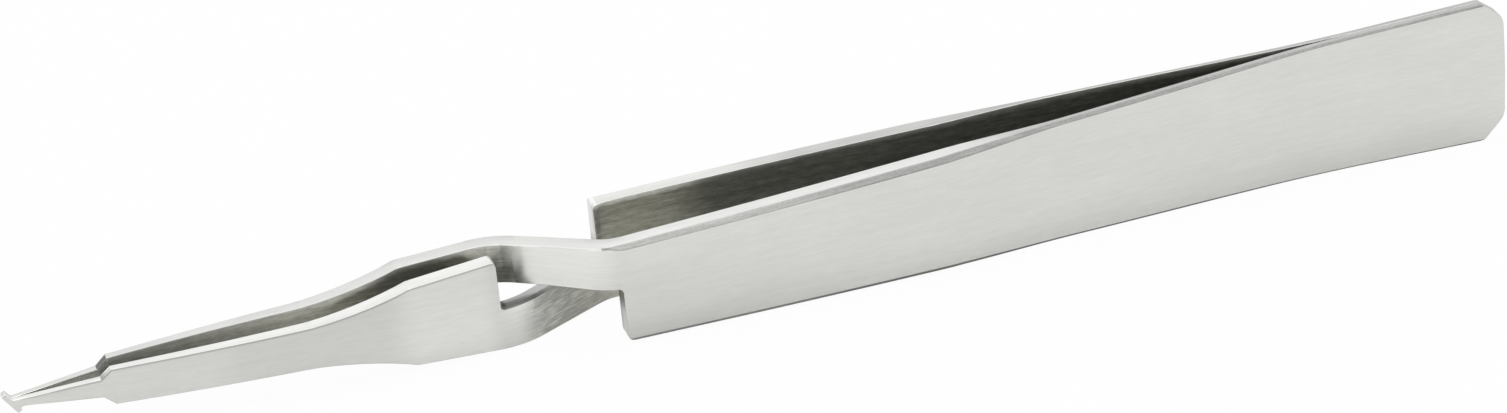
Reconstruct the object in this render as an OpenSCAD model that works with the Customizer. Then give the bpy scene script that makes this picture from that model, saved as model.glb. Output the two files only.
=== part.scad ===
// Self-closing crossover tweezers with angled feet, for placing small components.
// Two spring steel arms are spot welded at the butt. Each arm bows outwards, is cut
// away to half its width at the neck, crosses the other arm there and widens again
// into a jaw, so squeezing the grips opens the feet.
//
// The shapes are drawn along the arm: x runs from the butt to the tip, y outwards from
// the split plane, z across the width of the strip. The finished tool is laid on the
// long lower edges of its grips, with the tip towards -X.

/* [Heel] */
// Width of the strip at the butt
butt_width = 11.6; // [10:0.1:13]
// Length of the corner cuts at the butt
butt_cut_length = 1.8; // [0.8:0.05:3]
// Height of the upper corner cut
upper_cut_height = 1.35; // [0.8:0.05:3]
// Height of the lower corner cut
lower_cut_height = 1.8; // [0.8:0.05:3]
// Radius that rounds the butt into its corner cuts
butt_corner_r = 1.3; // [0.3:0.1:1.5]
// Height of the crown on the butt
butt_crown = 0.1; // [0.05:0.05:0.4]
// Thickness of the strip in the heel and the spring
spring_thickness = 0.58; // [0.54:0.02:0.8]
// Bevel on the outer long edges of the heel
heel_bevel = 0.18; // [0.05:0.01:0.24]

/* [Spot welds] */
// Number of welds along the heel
weld_count = 2; // [1:1:3]
// Diameter of a weld nugget
weld_d = 2.6; // [2:0.1:3.2]
// Thickness of a weld nugget, half of it in each strip
weld_thickness = 0.5; // [0.3:0.02:0.6]
// Distance from the butt to the first weld
weld_inset = 4; // [3.2:0.1:4.6]
// Distance from one weld to the next
weld_pitch = 3.8; // [3.4:0.1:4]
// Clearance round a nugget in the strips
weld_clearance = 0.02; // [0.01:0.005:0.04]

/* [Spring and grip] */
// Length of the grip, from the butt to the notch
grip_length = 70.7; // [66:0.1:76]
// Place of the bend where the arms part
spring_x = 15.5; // [14.5:0.25:17]
// Angle at which the front arm leaves the split plane
front_spring_angle = 5.3; // [4.8:0.05:5.6]
// Angle at which the rear arm leaves the split plane
rear_spring_angle = 5.05; // [4.6:0.05:5.5]
// Radius of that bend
spring_r = 94; // [60:2:110]
// Place where an arm pivots as its spring gives way
pivot_x = 22; // [20:0.5:24]
// Place where the bevel reaches its width on the spring
spring_bevel_x = 25; // [22:0.5:30]
// Bevel on the outer long edges of the spring
spring_bevel = 0.28; // [0.1:0.02:0.34]
// Place of the middle of the bow
bow_x = 45.5; // [43:0.5:49]
// Angle by which the bow turns the front grip back
front_bow_angle = 3.3; // [2.5:0.05:3.8]
// Angle by which the bow turns the rear grip back
rear_bow_angle = 4.45; // [3.2:0.05:4.8]
// Radius of the bow, where its neighbours leave room for it
bow_r = 690; // [300:10:720]
// Shortest straight part of the grip between the bow and the neck
grip_straight = 3.2; // [2:0.1:5]
// Place where the strip starts to thicken
thicken_start = 35.5; // [32:0.5:38]
// Length over which it thickens
thicken_length = 11; // [8:0.5:14]
// Thickness of the grip where the strip stops thickening
grip_thickness = 1.58; // [1.5:0.02:1.8]
// Bevel on the outer long edges there
grip_bevel = 0.43; // [0.2:0.01:0.5]
// Thickness of the grip at the notch
notch_thickness = 1.5; // [1.4:0.02:1.6]
// Bevel where the grip bends into the neck
notch_bevel = 0.37; // [0.1:0.01:0.45]
// Width of the strip at the notch
notch_width = 7.86; // [7.2:0.02:8.5]
// Radius on the free corner of the front grip, at the notch
front_corner_r = 0.7; // [0.3:0.05:1]
// Radius on the free corner of the rear grip, at the notch
rear_corner_r = 0.3; // [0.1:0.05:1]
// Radius in the roots of the notches
notch_root_r = 0.35; // [0.2:0.05:0.6]

/* [Neck] */
// Length of the neck, between the two notches
neck_length = 8.5; // [8:0.1:9.5]
// Radius of the bend from the grip into the neck
neck_bend_r = 3; // [1:0.1:3.5]
// Radius of the bend from the neck into the jaw
jaw_bend_r = 7; // [4:0.25:7.5]
// Distance from that bend to the start of the jaw, on a neck without shift
jaw_bend_lead = 1.1; // [0.8:0.05:1.3]
// Shift of the front arm's neck bends towards the tip
front_neck_shift = 0.35; // [0:0.05:0.6]
// Shift of the rear arm's neck bends towards the butt
rear_neck_shift = 0.5; // [0:0.05:0.6]
// Thickness of the strip in the middle of the neck
neck_thickness = 1.28; // [1.2:0.02:1.5]
// Height of the front arm's neck above the middle of the strip
front_neck_rise = 0.5; // [0.1:0.05:0.8]
// Depth of the rear arm's neck below the middle of the strip
rear_neck_drop = 0.4; // [0.1:0.05:0.8]

/* [Jaw] */
// Length of the jaw, from the notch to its shoulder
jaw_length = 6.5; // [5.5:0.1:8]
// Width of the jaw at the notch
jaw_width = 7.05; // [6.6:0.05:7.5]
// Thickness of the strip in the jaw
jaw_thickness = 1.4; // [1.2:0.02:1.5]
// Distance of the outer face of the jaw from the split plane
jaw_offset = 2.15; // [2.05:0.05:2.4]
// Outward lean of the jaw
jaw_lean = 2.6; // [1.5:0.1:4]
// Radius on the free corner of the jaw
jaw_corner_r = 0.4; // [0.2:0.05:0.8]
// Width of the jaw at the shoulder
shoulder_width = 6.15; // [5.6:0.05:6.5]
// Angle at which the jaw narrows behind the shoulder
shoulder_angle = 20; // [18:0.5:24]
// Radius of the hollow between shoulder and beak
hollow_r = 24; // [12:1:24]
// Radius on the corner of the shoulder
shoulder_corner_r = 0.8; // [0.3:0.1:1.5]
// Radius of the bend at the shoulder
shoulder_bend_r = 12; // [4:1:20]

/* [Beak] */
// Length of the beak, from the shoulder to the step
beak_length = 21.5; // [19:0.1:25]
// Width of the beak at the step
beak_width = 2.75; // [2.5:0.05:3]
// Taper of each side of the beak
beak_taper = 0.9; // [0.4:0.1:1.2]
// Distance from the shoulder to the middle of the beak's bow
beak_bow_x = 15.8; // [14.5:0.1:17]
// Distance of that middle from the split plane, before rounding
beak_bow_offset = 1.97; // [1.9:0.01:2.1]
// Radius of the beak's bow
beak_bow_r = 200; // [80:10:220]
// Length of the slanted step from the beak to the needle
beak_step = 0.8; // [0.4:0.05:1.2]
// Radius on the corners of the step
step_corner_r = 0.1; // [0.05:0.01:0.2]

/* [Needle and foot] */
// Length of the needle, from the step to the end of the foot
needle_length = 7.8; // [6.5:0.1:9]
// Width of the needle at its root
needle_root_width = 1.38; // [1.2:0.02:1.6]
// Width of the needle at the foot
needle_end_width = 0.58; // [0.5:0.02:0.7]
// Thickness of the strip at the end of the foot, before the pad is ground
foot_thickness = 0.42; // [0.36:0.01:0.5]
// Length of the ground pads that meet when the feet are closed
pad_length = 1.3; // [0.8:0.1:1.8]
// Gap between the pads of the closed feet
pad_gap = 0.04; // [0.02:0.01:0.1]
// Length of the working edge of a foot
foot_length = 1.75; // [1.4:0.05:2]
// Breadth of a foot, square to its working edge
foot_breadth = 0.38; // [0.3:0.02:0.5]
// Height of the front end of the working edge above the middle of the needle
foot_rise = 0.6; // [0.4:0.05:0.8]
// Angle of the working edge to the needle
foot_angle = 55; // [48:1:62]
// Radius of the fillets between needle and foot
foot_fillet_r = 0.3; // [0.1:0.05:0.35]
// Radius on the corners of the foot
foot_corner_r = 0.1; // [0.05:0.01:0.14]

/* [Hidden] */

steel = [0.80, 0.81, 0.79];
weld_steel = [0.62, 0.62, 0.60];
// Reach of a cutting shape beyond the surface that it cuts
reach = 1;
// Widest angle of one facet on a rounded corner
facet = 6;

// Places along the arm, from the butt
neck_x = grip_length + neck_length / 2;
jaw_x = grip_length + neck_length;
shoulder_x = jaw_x + jaw_length;
step_x = shoulder_x + beak_length;
tool_length = step_x + needle_length;

// Half widths
butt_h = butt_width / 2;
notch_h = notch_width / 2;
grip_taper = (butt_h - notch_h) / grip_length;
tilt = atan(grip_taper);

function half_width(x) = butt_h - grip_taper * x;
function smooth(t) = let (u = max(0, min(1, t))) u * u * (3 - 2 * u);
function ramp(x, x0, x1, a, b) = a + (b - a) * max(0, min(1, (x - x0) / (x1 - x0)));

// Where the line through p at angle a meets the line through q at angle b
function meet(p, a, q, b) =
    let (k = ((q.x - p.x) * sin(b) - (q.y - p.y) * cos(b)) / sin(b - a))
    [p.x + k * cos(a), p.y + k * sin(a)];

function backwards(v) = [for (i = [len(v) - 1:-1:0]) v[i]];
function heading(p, q) = atan2(q.y - p.y, q.x - p.x);
function turn(a, b) = ((b - a + 540) % 360) - 180;

// Round a corner v = [x, y, r] between its neighbours: a list of [x, y, heading]
function corner(p, v, q, least) =
    let (a = heading(p, v), b = heading(v, q), t = turn(a, b), s = sign(t))
    let (cut = v[2] * tan(abs(t) / 2), n = max(least, ceil(abs(t) / facet)))
    let (c = [v.x - cut * cos(a) - s * v[2] * sin(a), v.y - cut * sin(a) + s * v[2] * cos(a)])
    v[2] == 0 || t == 0
        ? [[v.x, v.y, a + t / 2]]
        : [for (i = [0:n]) let (h = a + t * i / n) [c.x + s * v[2] * sin(h), c.y - s * v[2] * cos(h), h]];

// Outline through the corners of a closed list
function outline(v) =
    let (n = len(v))
    [for (i = [0:n - 1]) each [for (p = corner(v[(i + n - 1) % n], v[i], v[(i + 1) % n], 1)) [p.x, p.y]]];

// Path through the corners of an open list, with at least v[i][3] facets in corner i
function path(v) =
    let (n = len(v))
    [
        [v[0].x, v[0].y, heading(v[0], v[1])],
        for (i = [1:n - 2]) each corner(v[i - 1], v[i], v[i + 1], v[i][3]),
        [v[n - 1].x, v[n - 1].y, heading(v[n - 2], v[n - 1])]
    ];

// Grows from a on the spring to b where the strip is thick, and on to c at the notch
function thickened(x, a, b, c) =
    a + (ramp(x, thicken_start + thicken_length, grip_length, b, c) - a)
    * smooth((x - thicken_start) / thicken_length);

// Thickness of the strip, ground thin in the spring and tapered from jaw to foot
function thickness(x) =
    x < grip_length
        ? thickened(x, spring_thickness, grip_thickness, notch_thickness)
        : x < neck_x
            ? ramp(x, grip_length, neck_x, notch_thickness, neck_thickness)
            : x < shoulder_x
                ? ramp(x, neck_x, jaw_x, neck_thickness, jaw_thickness)
                : ramp(x, shoulder_x, tool_length, jaw_thickness, foot_thickness);

// Depth by which the inner side of the spring is ground, half of what both sides lose
function hollowed(x) = x < grip_length ? max(0, notch_thickness - thickness(x)) / 2 : 0;

// Bevel on the outer long edges, wider on the spring and widest on the thick grip
function bevel(x) =
    thickened(
        x,
        ramp(x, spring_x, spring_bevel_x, heel_bevel, spring_bevel),
        grip_bevel,
        notch_bevel
    );

// Line along the inner side of the grip and the outer side of the jaw, from which the
// strip is thickened to one side. On the spring it lies as deep in the other arm as the
// strip is ground there. Both bends of the neck lie further towards the tip by shift.
// The angle out leads an arm away from the split plane, and the bow turns it back by the
// angle bow.
function bow_y(out) = (bow_x - spring_x) * tan(out) - hollowed(0);
function bow_room(out) =
    min(bow_x - spring_x - spring_r * tan(out / 2), grip_length - bow_x - grip_straight);
shoulder_y = jaw_offset + jaw_length * tan(jaw_lean);
pad_x = tool_length - pad_length;
pad_y = pad_gap / 2 + thickness(pad_x);
beak_bow = [shoulder_x + beak_bow_x, -beak_bow_offset];
foot_slope = (beak_bow_offset - pad_y) / (pad_x - beak_bow.x);
function neck_bend(shift, out, bow) =
    [grip_length + shift, bow_y(out) + (grip_length + shift - bow_x) * tan(out - bow)];
function jaw_bend(shift) =
    let (x = jaw_x - jaw_bend_lead + shift)
    [x, -jaw_offset + (jaw_x - x) * tan(jaw_lean)];
function bend_line(shift, out, bow) =
    let (neck = neck_bend(shift, out, bow), jaw = jaw_bend(shift))
    path([
        [0, -hollowed(0)],
        [spring_x, -hollowed(0), spring_r, 4],
        [bow_x, bow_y(out), min(bow_r, bow_room(out) / tan(bow / 2)), 26],
        [neck.x, neck.y, neck_bend_r, 1],
        [jaw.x, jaw.y, jaw_bend_r, 1],
        [shoulder_x, -shoulder_y, shoulder_bend_r, 2],
        [beak_bow.x, beak_bow.y, beak_bow_r, 6],
        [tool_length + reach, -pad_y + (pad_length + reach) * foot_slope]
    ]);
function beside(p, depth) = [p.x - depth * sin(p.z), p.y + depth * cos(p.z)];
function near(p) = beside(p, hollowed(p.x));
function far(p) = beside(p, hollowed(p.x) + thickness(p.x));

// Bent strip seen from above, with the pad ground flat beside the split plane
module strip_plan(shift, out, bow) {
    line = bend_line(shift, out, bow);
    difference() {
        polygon(concat(
            [for (p = line) near(p)],
            [for (p = backwards(line)) far(p)]
        ));
        translate([shoulder_x, -pad_gap / 2])
            square([tool_length, jaw_offset]);
    }
}

// Corners of the foot, from the end of the working edge that leads to its back
foot_a = [tool_length, foot_rise];
foot_b = foot_a - foot_length * [cos(foot_angle), sin(foot_angle)];
foot_back = foot_breadth * [-sin(foot_angle), cos(foot_angle)];
needle_x = step_x + beak_step;
needle_taper = atan((needle_root_width - needle_end_width) / 2 / (needle_length - beak_step - pad_length));
needle_root = [needle_x, needle_root_width / 2];

function edge(p, side) = [p.x, side * p.y];
function needle_foot(side) =
    meet(edge(needle_root, side), -side * needle_taper, foot_a + foot_back, foot_angle);
function foot_corner(p, r) = [p.x, p.y, r];
foot_corners = [
    foot_corner(needle_foot(1), foot_fillet_r),
    foot_corner(foot_a + foot_back, foot_corner_r),
    foot_corner(foot_a, foot_corner_r),
    foot_corner(foot_b, foot_corner_r),
    foot_corner(foot_b + foot_back, foot_corner_r),
    foot_corner(needle_foot(-1), foot_fillet_r)
];

// Foot seen from the side, on a strip that lies upright (up = 1) or turned over (up = -1)
function foot(up) =
    up > 0 ? foot_corners : backwards([for (v = foot_corners) [v.x, -v.y, v.z]]);

// Corners from the shoulder to the needle, on one side
hollow = meet([shoulder_x, shoulder_width / 2], -shoulder_angle, [step_x, beak_width / 2], -beak_taper);
function beak_side(side) = [
    [shoulder_x, side * shoulder_width / 2, shoulder_corner_r],
    [hollow.x, side * hollow.y, hollow_r],
    [step_x, side * beak_width / 2, step_corner_r],
    [needle_x, side * needle_root_width / 2, step_corner_r]
];

// Corners of the butt on one side, from its crown to the long edge. The two strips are
// ground to one outline here, so a strip that is turned over swaps its corner cuts.
crown_h = butt_h - max(upper_cut_height, lower_cut_height);
// The arc of the crown takes up a third of each half of the butt
crown_r = crown_h / 3 * crown_h / butt_crown;
function butt_side(side, up) =
    let (cut = side * up > 0 ? upper_cut_height : lower_cut_height)
    let (x = butt_crown + butt_cut_length)
    [
        [butt_crown, side * (half_width(x) - cut), butt_corner_r],
        [x, side * half_width(x), butt_corner_r / 2]
    ];

// Corners of the notches below the neck, from the jaw back to the grip
function notches(neck_edge, grip_corner_r) = [
    [jaw_x, -jaw_width / 2, jaw_corner_r],
    [jaw_x, neck_edge, notch_root_r],
    [grip_length, neck_edge, notch_root_r],
    [grip_length, -notch_h, grip_corner_r]
];

// Strip seen from the side, with its neck above neck_edge
module strip_elevation(up, neck_edge, grip_corner_r) {
    polygon(outline(concat(
        [[0, 0, crown_r]],
        butt_side(1, up),
        [[grip_length, notch_h, 0], [jaw_x, jaw_width / 2, 0]],
        beak_side(1),
        foot(up),
        backwards(beak_side(-1)),
        notches(neck_edge, grip_corner_r),
        backwards(butt_side(-1, up))
    )));
}

// Ring of the cutter that bevels the upper outer edge, square to the strip at p
function bevel_ring(p) =
    let (o = far(p), h = half_width(p.x), b = bevel(p.x), n = [-sin(p.z), cos(p.z)])
    [for (q = [[reach, -b - reach], [reach, reach], [-b - reach, reach]])
        [o.x + q.x * n.x, o.y + q.x * n.y, h + q.y]];

// Solid through a list of rings with three points each
module sweep(rings) {
    last = len(rings) - 1;
    polyhedron(
        [for (ring = rings) each ring],
        [
            [0, 1, 2],
            [3 * last + 2, 3 * last + 1, 3 * last],
            for (i = [0:last - 1]) for (j = [0:2]) let (k = (j + 1) % 3)
                each [[3 * i + j, 3 * i + 3 + j, 3 * i + k], [3 * i + k, 3 * i + 3 + j, 3 * i + 3 + k]]
        ]
    );
}

// The cutter runs on straight over the neck, so the bevel fades where the neck bends away
module bevel_cutter(shift, out, bow) {
    grip_angle = out - bow;
    straight = neck_bend(shift, out, bow) + 2 * neck_bend_r * [cos(grip_angle), sin(grip_angle)];
    sweep([
        bevel_ring([-reach, -hollowed(0), 0]),
        for (p = bend_line(shift, out, bow)) if (p.x < grip_length - neck_bend_r) bevel_ring(p),
        bevel_ring([straight.x, straight.y, grip_angle])
    ]);
}

// The whole arm, from butt to foot
module strip(up, shift, out, bow, neck_edge, grip_corner_r) {
    difference() {
        intersection() {
            linear_extrude(height = 2 * butt_width, center = true)
                strip_plan(shift, out, bow);
            rotate([90, 0, 0])
                linear_extrude(height = 2 * butt_width, center = true)
                    strip_elevation(up, neck_edge, grip_corner_r);
        }
        bevel_cutter(shift, out, bow);
        mirror([0, 0, 1])
            bevel_cutter(shift, out, bow);
    }
}

module front_strip() {
    strip(
        1,
        front_neck_shift,
        front_spring_angle,
        front_bow_angle,
        front_neck_rise,
        front_corner_r
    );
}

// The rear arm is the same strip, turned half round the length of the tool
module rear_strip() {
    rotate([180, 0, 0])
        strip(
            -1,
            -rear_neck_shift,
            rear_spring_angle,
            rear_bow_angle,
            rear_neck_drop,
            rear_corner_r
        );
}

module weld_nuggets(clearance) {
    for (i = [0:weld_count - 1])
        translate([weld_inset + i * weld_pitch, 0, 0])
            rotate([90, 0, 0])
                cylinder(
                    d = weld_d + 2 * clearance,
                    h = weld_thickness + 2 * clearance,
                    center = true,
                    $fn = 48
                );
}

// Room on one side of the pivot, to part the strip there
module along(x0, x1) {
    translate([x0, -butt_width, -butt_width])
        cube([x1 - x0, 2 * butt_width, 2 * butt_width]);
}

// Root end of an arm, welded to the other one
module heel() {
    color(steel)
        difference() {
            intersection() {
                children();
                along(-reach, pivot_x);
            }
            weld_nuggets(weld_clearance);
        }
}

// Rest of an arm: spring, grip, neck, jaw, beak, needle and foot
module blade() {
    color(steel)
        intersection() {
            children();
            along(pivot_x, tool_length + reach);
        }
}

// Lay the tool down on the long lower edges of its grips, with its middle at x = 0
module laid() {
    translate([tool_length * cos(tilt) / 2, 0, butt_h * cos(tilt)])
        rotate([0, tilt, 180])
            children();
}

module front_heel() {
    laid()
        heel()
            front_strip();
}

module rear_heel() {
    laid()
        heel()
            rear_strip();
}

module spot_welds() {
    laid()
        color(weld_steel)
            weld_nuggets(0);
}

module front_blade() {
    laid()
        blade()
            front_strip();
}

module rear_blade() {
    laid()
        blade()
            rear_strip();
}

front_heel();
rear_heel();
spot_welds();
front_blade();
rear_blade();
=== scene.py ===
# %% [markdown]
# Dressing a pair of crossover tweezers
# The tool is two bent strips of spring steel, welded together at the butt. The frame
# brings the exact solids, each arm parted at its spring bend. They could be dressed as
# they are, but then each arm would kink at the seam as it moves. So every arm is made
# again as one unbroken strip, the way it comes out of the press shop, and its bends,
# bevels and ground edges catch the light as they do on the real one.

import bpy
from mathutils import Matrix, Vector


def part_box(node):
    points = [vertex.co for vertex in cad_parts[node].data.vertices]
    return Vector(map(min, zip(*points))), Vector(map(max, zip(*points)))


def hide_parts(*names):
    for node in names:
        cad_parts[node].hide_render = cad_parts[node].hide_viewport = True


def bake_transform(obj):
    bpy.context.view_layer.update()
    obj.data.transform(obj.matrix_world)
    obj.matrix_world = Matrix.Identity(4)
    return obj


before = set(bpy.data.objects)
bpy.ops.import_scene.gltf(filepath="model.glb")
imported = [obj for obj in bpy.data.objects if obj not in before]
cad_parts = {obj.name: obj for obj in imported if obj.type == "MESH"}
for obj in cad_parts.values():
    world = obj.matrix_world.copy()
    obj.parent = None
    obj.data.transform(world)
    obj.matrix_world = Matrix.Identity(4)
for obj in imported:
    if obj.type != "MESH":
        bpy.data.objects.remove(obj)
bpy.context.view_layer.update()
print("solids:", ", ".join(sorted(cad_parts)))

# %% Other modules
import math

import bmesh
import bpy
import numpy as np
from mathutils import Matrix, Vector

# %% [markdown]
# A strip is drawn along itself. Here x runs from the butt to the tip, y from the plane
# between the arms outwards, and z across the width of the strip. All sizes are real
# ones, in metres, and the places along the arm are counted from the butt.

# %% Places along an arm
mm = 0.001
bend_x = 15.5 * mm
bow_x = 45.5 * mm
grip_end = 70.7 * mm
neck_x = 74.95 * mm
jaw_start = 79.2 * mm
shoulder_x = 85.7 * mm
step_x = 107.2 * mm
tip_x = 115 * mm
print("length of an arm in mm:", round(tip_x / mm, 1))

# %% Width of a strip
butt_half = 5.8 * mm
notch_half = 3.93 * mm
grip_taper = (butt_half - notch_half) / grip_end
tilt = math.atan(grip_taper)


def half_width(x):
    """Half the width of the grip at x, and of its straight extension past the notch."""
    return butt_half - grip_taper * x


print("the long edges slope by", round(math.degrees(tilt), 2), "degrees")


# %% [markdown]
# The spring has to be thin and the grip stiff, so the strip is ground to 0.58 mm on both
# sides from the butt on, and grows to its full 1.58 mm in a short run before the bow.
# The neck is a little thinner, and from the jaw to the foot it tapers evenly. A Solidify
# modifier gives one thickness only, or one scaled by vertex weights. A function of x
# says it more plainly, and the bevels can ask it too.

# %% Thickness of a strip
spring_thick = 0.58 * mm
grip_thick = 1.58 * mm
notch_thick = 1.5 * mm
neck_thick = 1.28 * mm
jaw_thick = 1.4 * mm
foot_thick = 0.42 * mm
thicken_start = 35.5 * mm
thicken_end = thicken_start + 11 * mm


def eased(x, start, end):
    """Eases from 0 to 1 as x goes from start to end."""
    t = np.clip((x - start) / (end - start), 0, 1)
    return t * t * (3 - 2 * t)


def thickened(x, spring, grip, notch):
    """A size that grows where the strip thickens, and changes on towards the notch."""
    full = np.interp(x, [thicken_end, grip_end], [grip, notch])
    return spring + (full - spring) * eased(x, thicken_start, thicken_end)


def thickness(x):
    """Thickness of the strip at x, square to its faces."""
    places = [grip_end, neck_x, jaw_start, shoulder_x, tip_x]
    tapered = np.interp(x, places, [notch_thick, neck_thick, jaw_thick, jaw_thick, foot_thick])
    return np.where(x < grip_end, thickened(x, spring_thick, grip_thick, notch_thick), tapered)


def hollowed(x):
    """Depth by which the inner side of the spring is ground, half of what both sides lose."""
    return np.where(x < grip_end, np.maximum(0, notch_thick - thickness(x)) / 2, 0)


measured = [round(float(thickness(x)) / mm, 2) for x in (0, bow_x, grip_end, step_x)]
print("thickness in mm at butt, bow, notch and step:", measured)


# %% [markdown]
# Seen from above, a strip is a line with six bends: spring, bow, both ends of the neck,
# shoulder and beak. On a true arc the sine of the heading grows evenly with x, so a
# table of sines at the two ends of each bend is enough, and one running sum turns the
# slopes into heights. A curve object could hold the bends too, but the faces of the
# strip need their height at any x, which this gives at once.

# %% Bend line
line_step = 0.02 * mm


def bend_line(corners):
    """x, y and the sine of the heading along a line with rounded corners (x, y, radius)."""
    knots, sines = [], []
    for (x0, y0, _), (x1, y1, radius), (x2, y2, _) in zip(corners, corners[1:], corners[2:]):
        before = math.atan2(y1 - y0, x1 - x0)
        after = math.atan2(y2 - y1, x2 - x1)
        cut = radius * math.tan(abs(after - before) / 2)
        knots += [x1 - cut * math.cos(before), x1 + cut * math.cos(after)]
        sines += [math.sin(before), math.sin(after)]
    x = np.arange(corners[0][0], corners[-1][0], line_step)
    sine = np.interp(x, knots, sines)
    slope = sine / np.sqrt(1 - sine**2)
    y = corners[0][1] + np.concatenate([[0], np.cumsum((slope[1:] + slope[:-1]) / 2 * line_step)])
    return x, y, sine


# %% Corners of the bend line
front_out, front_bow = math.radians(5.3), math.radians(3.3)
rear_out, rear_bow = math.radians(5.05), math.radians(4.45)
jaw_lean = math.radians(2.6)
jaw_offset = 2.15 * mm
shoulder_offset = jaw_offset + (shoulder_x - jaw_start) * math.tan(jaw_lean)
heel_offset = -float(hollowed(0))
beak_bow_x = shoulder_x + 15.8 * mm
beak_bow_offset = 1.97 * mm
pad_x = tip_x - 1.3 * mm
pad_gap = 0.04 * mm
grip_straight = 3.2 * mm
jaw_bend_lead = 1.1 * mm
line_end = tip_x + 1 * mm

# %% Radii of the bend line
bend_radius = 94 * mm
bow_radius = 690 * mm
fold_radius = 3 * mm
jaw_radius = 7 * mm
shoulder_radius = 12 * mm
beak_radius = 200 * mm


def inside_corners(shift, out, bow):
    """Bends of the line that the strip is thickened from, on the inner side of the grip.

    On the spring it lies as deep in the other arm as the strip is ground there. shift
    moves the bends of the neck. The arm leaves the middle at the angle out, and the bow
    turns it back by the angle bow.
    """
    bow_offset = heel_offset + (bow_x - bend_x) * math.tan(out)
    bend_cut = bend_radius * math.tan(out / 2)
    bow_room = min(bow_x - bend_x - bend_cut, grip_end - bow_x - grip_straight)
    fold_x = grip_end + shift
    jaw_x = jaw_start - jaw_bend_lead + shift
    pad_offset = pad_gap / 2 + float(thickness(pad_x))
    pad_slope = (beak_bow_offset - pad_offset) / (pad_x - beak_bow_x)
    return [
        (0, heel_offset, 0),
        (bend_x, heel_offset, bend_radius),
        (bow_x, bow_offset, min(bow_radius, bow_room / math.tan(bow / 2))),
        (fold_x, bow_offset + (fold_x - bow_x) * math.tan(out - bow), fold_radius),
        (jaw_x, (jaw_start - jaw_x) * math.tan(jaw_lean) - jaw_offset, jaw_radius),
        (shoulder_x, -shoulder_offset, shoulder_radius),
        (beak_bow_x, -beak_bow_offset, beak_radius),
        (line_end, (line_end - pad_x) * pad_slope - pad_offset, 0),
    ]


line_x, line_y, _ = bend_line(inside_corners(0, front_out, front_bow))
measured = [round(float(np.interp(x, line_x, line_y)) / mm, 2) for x in (bow_x, grip_end, jaw_start)]
print("offsets in mm at bow, notch and jaw:", measured)


# %% [markdown]
# Both faces of the strip run beside that line, at depths square to it: the inner face as
# deep as the grinding went, and the outer one deeper by the thickness. Moving a finished
# mesh along its normals would do nearly the same, but it bunches the points up in the
# tight bends. Near the foot the side that meets the other arm is ground flat, which
# makes the pads.

# %% Faces of a strip
def beside(x, y, sine, depth):
    """Heights over x of a line that runs beside another one, at a depth square to it."""
    return np.interp(x, x - depth * sine, y + depth * np.sqrt(1 - sine**2))


class Bends:
    """The two faces of one strip, as heights over x."""

    def __init__(self, shift, out, bow):
        x, y, sine = bend_line(inside_corners(shift, out, bow))
        ground = hollowed(x)
        self.x = x
        self.grip_slope = math.tan(out - bow)
        self.inner = beside(x, y, sine, ground)
        self.outer = beside(x, y, sine, ground + thickness(x))
        self.inner_heading = np.arctan(np.gradient(self.inner, x))
        self.outer_heading = np.arctan(np.gradient(self.outer, x))
        beak = x > shoulder_x
        self.outer[beak] = np.minimum(self.outer[beak], -pad_gap / 2)

    def inner_at(self, x):
        return float(np.interp(x, self.x, self.inner))

    def outer_at(self, x):
        return float(np.interp(x, self.x, self.outer))

    def stations(self, key_places):
        """Where to cut the blank across: at the key places, and between them as it bends."""
        keys = {int(round(x / line_step)) for x in key_places}
        places, last = [], 0
        for i in range(1, int(np.searchsorted(self.x, tip_x - line_step))):
            bent = max(
                abs(self.inner_heading[i] - self.inner_heading[last]),
                abs(self.outer_heading[i] - self.outer_heading[last]),
            )
            if i in keys or bent > station_turn or self.x[i] - self.x[last] > station_length:
                places.append(float(self.x[i]))
                last = i
        return places


# %% Bends of both arms
station_turn = math.radians(1.2)
station_length = 1.6 * mm
front_shift = 0.35 * mm
rear_shift = -0.5 * mm
front_bends = Bends(front_shift, front_out, front_bow)
rear_bends = Bends(rear_shift, rear_out, rear_bow)
print("cuts across the front blank where it bends:", len(front_bends.stations([])))


# %% [markdown]
# The bevel on the outer long edges is a flat ground face. It widens with the thickness
# and runs out where the neck dives below the line of the grip. Blender's Bevel would
# give it one width, so its width is worked out here and cut into the blank later.

# %% Long edge
jaw_half = 3.525 * mm


def long_edge(x):
    """How far the upper edge of the strip lies from its middle line, down to the jaw."""
    neck_slope = (notch_half - jaw_half) / (jaw_start - grip_end)
    return min(half_width(x), notch_half - (x - grip_end) * neck_slope)


measured = [round(long_edge(x) / mm, 2) for x in (bow_x, grip_end, jaw_start)]
print("upper edge in mm at bow, notch and jaw:", measured)

# %% Bevel
heel_bevel = 0.18 * mm
spring_bevel = 0.28 * mm
spring_bevel_x = 25 * mm
grip_bevel = 0.43 * mm
notch_bevel = 0.37 * mm
least_bevel = 0.045 * mm
drop_start = grip_end - 3 * mm
rubbed_edge = 0.13 * mm
rub_fade_x = jaw_start - 3 * mm


def bevel_width(bends, x):
    """Width of the bevel at x, once the drop of the neck has eaten into it.

    On the neck a narrow rubbed edge is left of it, which fades before the jaw.
    """
    thin = np.interp(x, [bend_x, spring_bevel_x], [heel_bevel, spring_bevel])
    width = thickened(x, thin, grip_bevel, notch_bevel)
    if x > drop_start:
        line = bends.outer_at(drop_start) + (x - drop_start) * bends.grip_slope
        left = np.interp(x, [rub_fade_x, jaw_start], [rubbed_edge, 0])
        width = max(width - max(0, line - bends.outer_at(x)), left)
    return float(width) if width > least_bevel else 0.0


measured = [round(bevel_width(front_bends, x) / mm, 2) for x in (0, bend_x, bow_x, grip_end, neck_x)]
print("bevel in mm at butt, bend, bow, notch and neck:", measured)


# %% [markdown]
# The blank is the strip before bending: one flat face. Only the corners are typed in.
# Arcs could be typed in as rows of points, but then nobody could change a radius. So
# each corner is rounded with a bevel on its vertex, which cuts the two edges back by
# radius times the tangent of half the turn and sets an arc in the gap.

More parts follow.
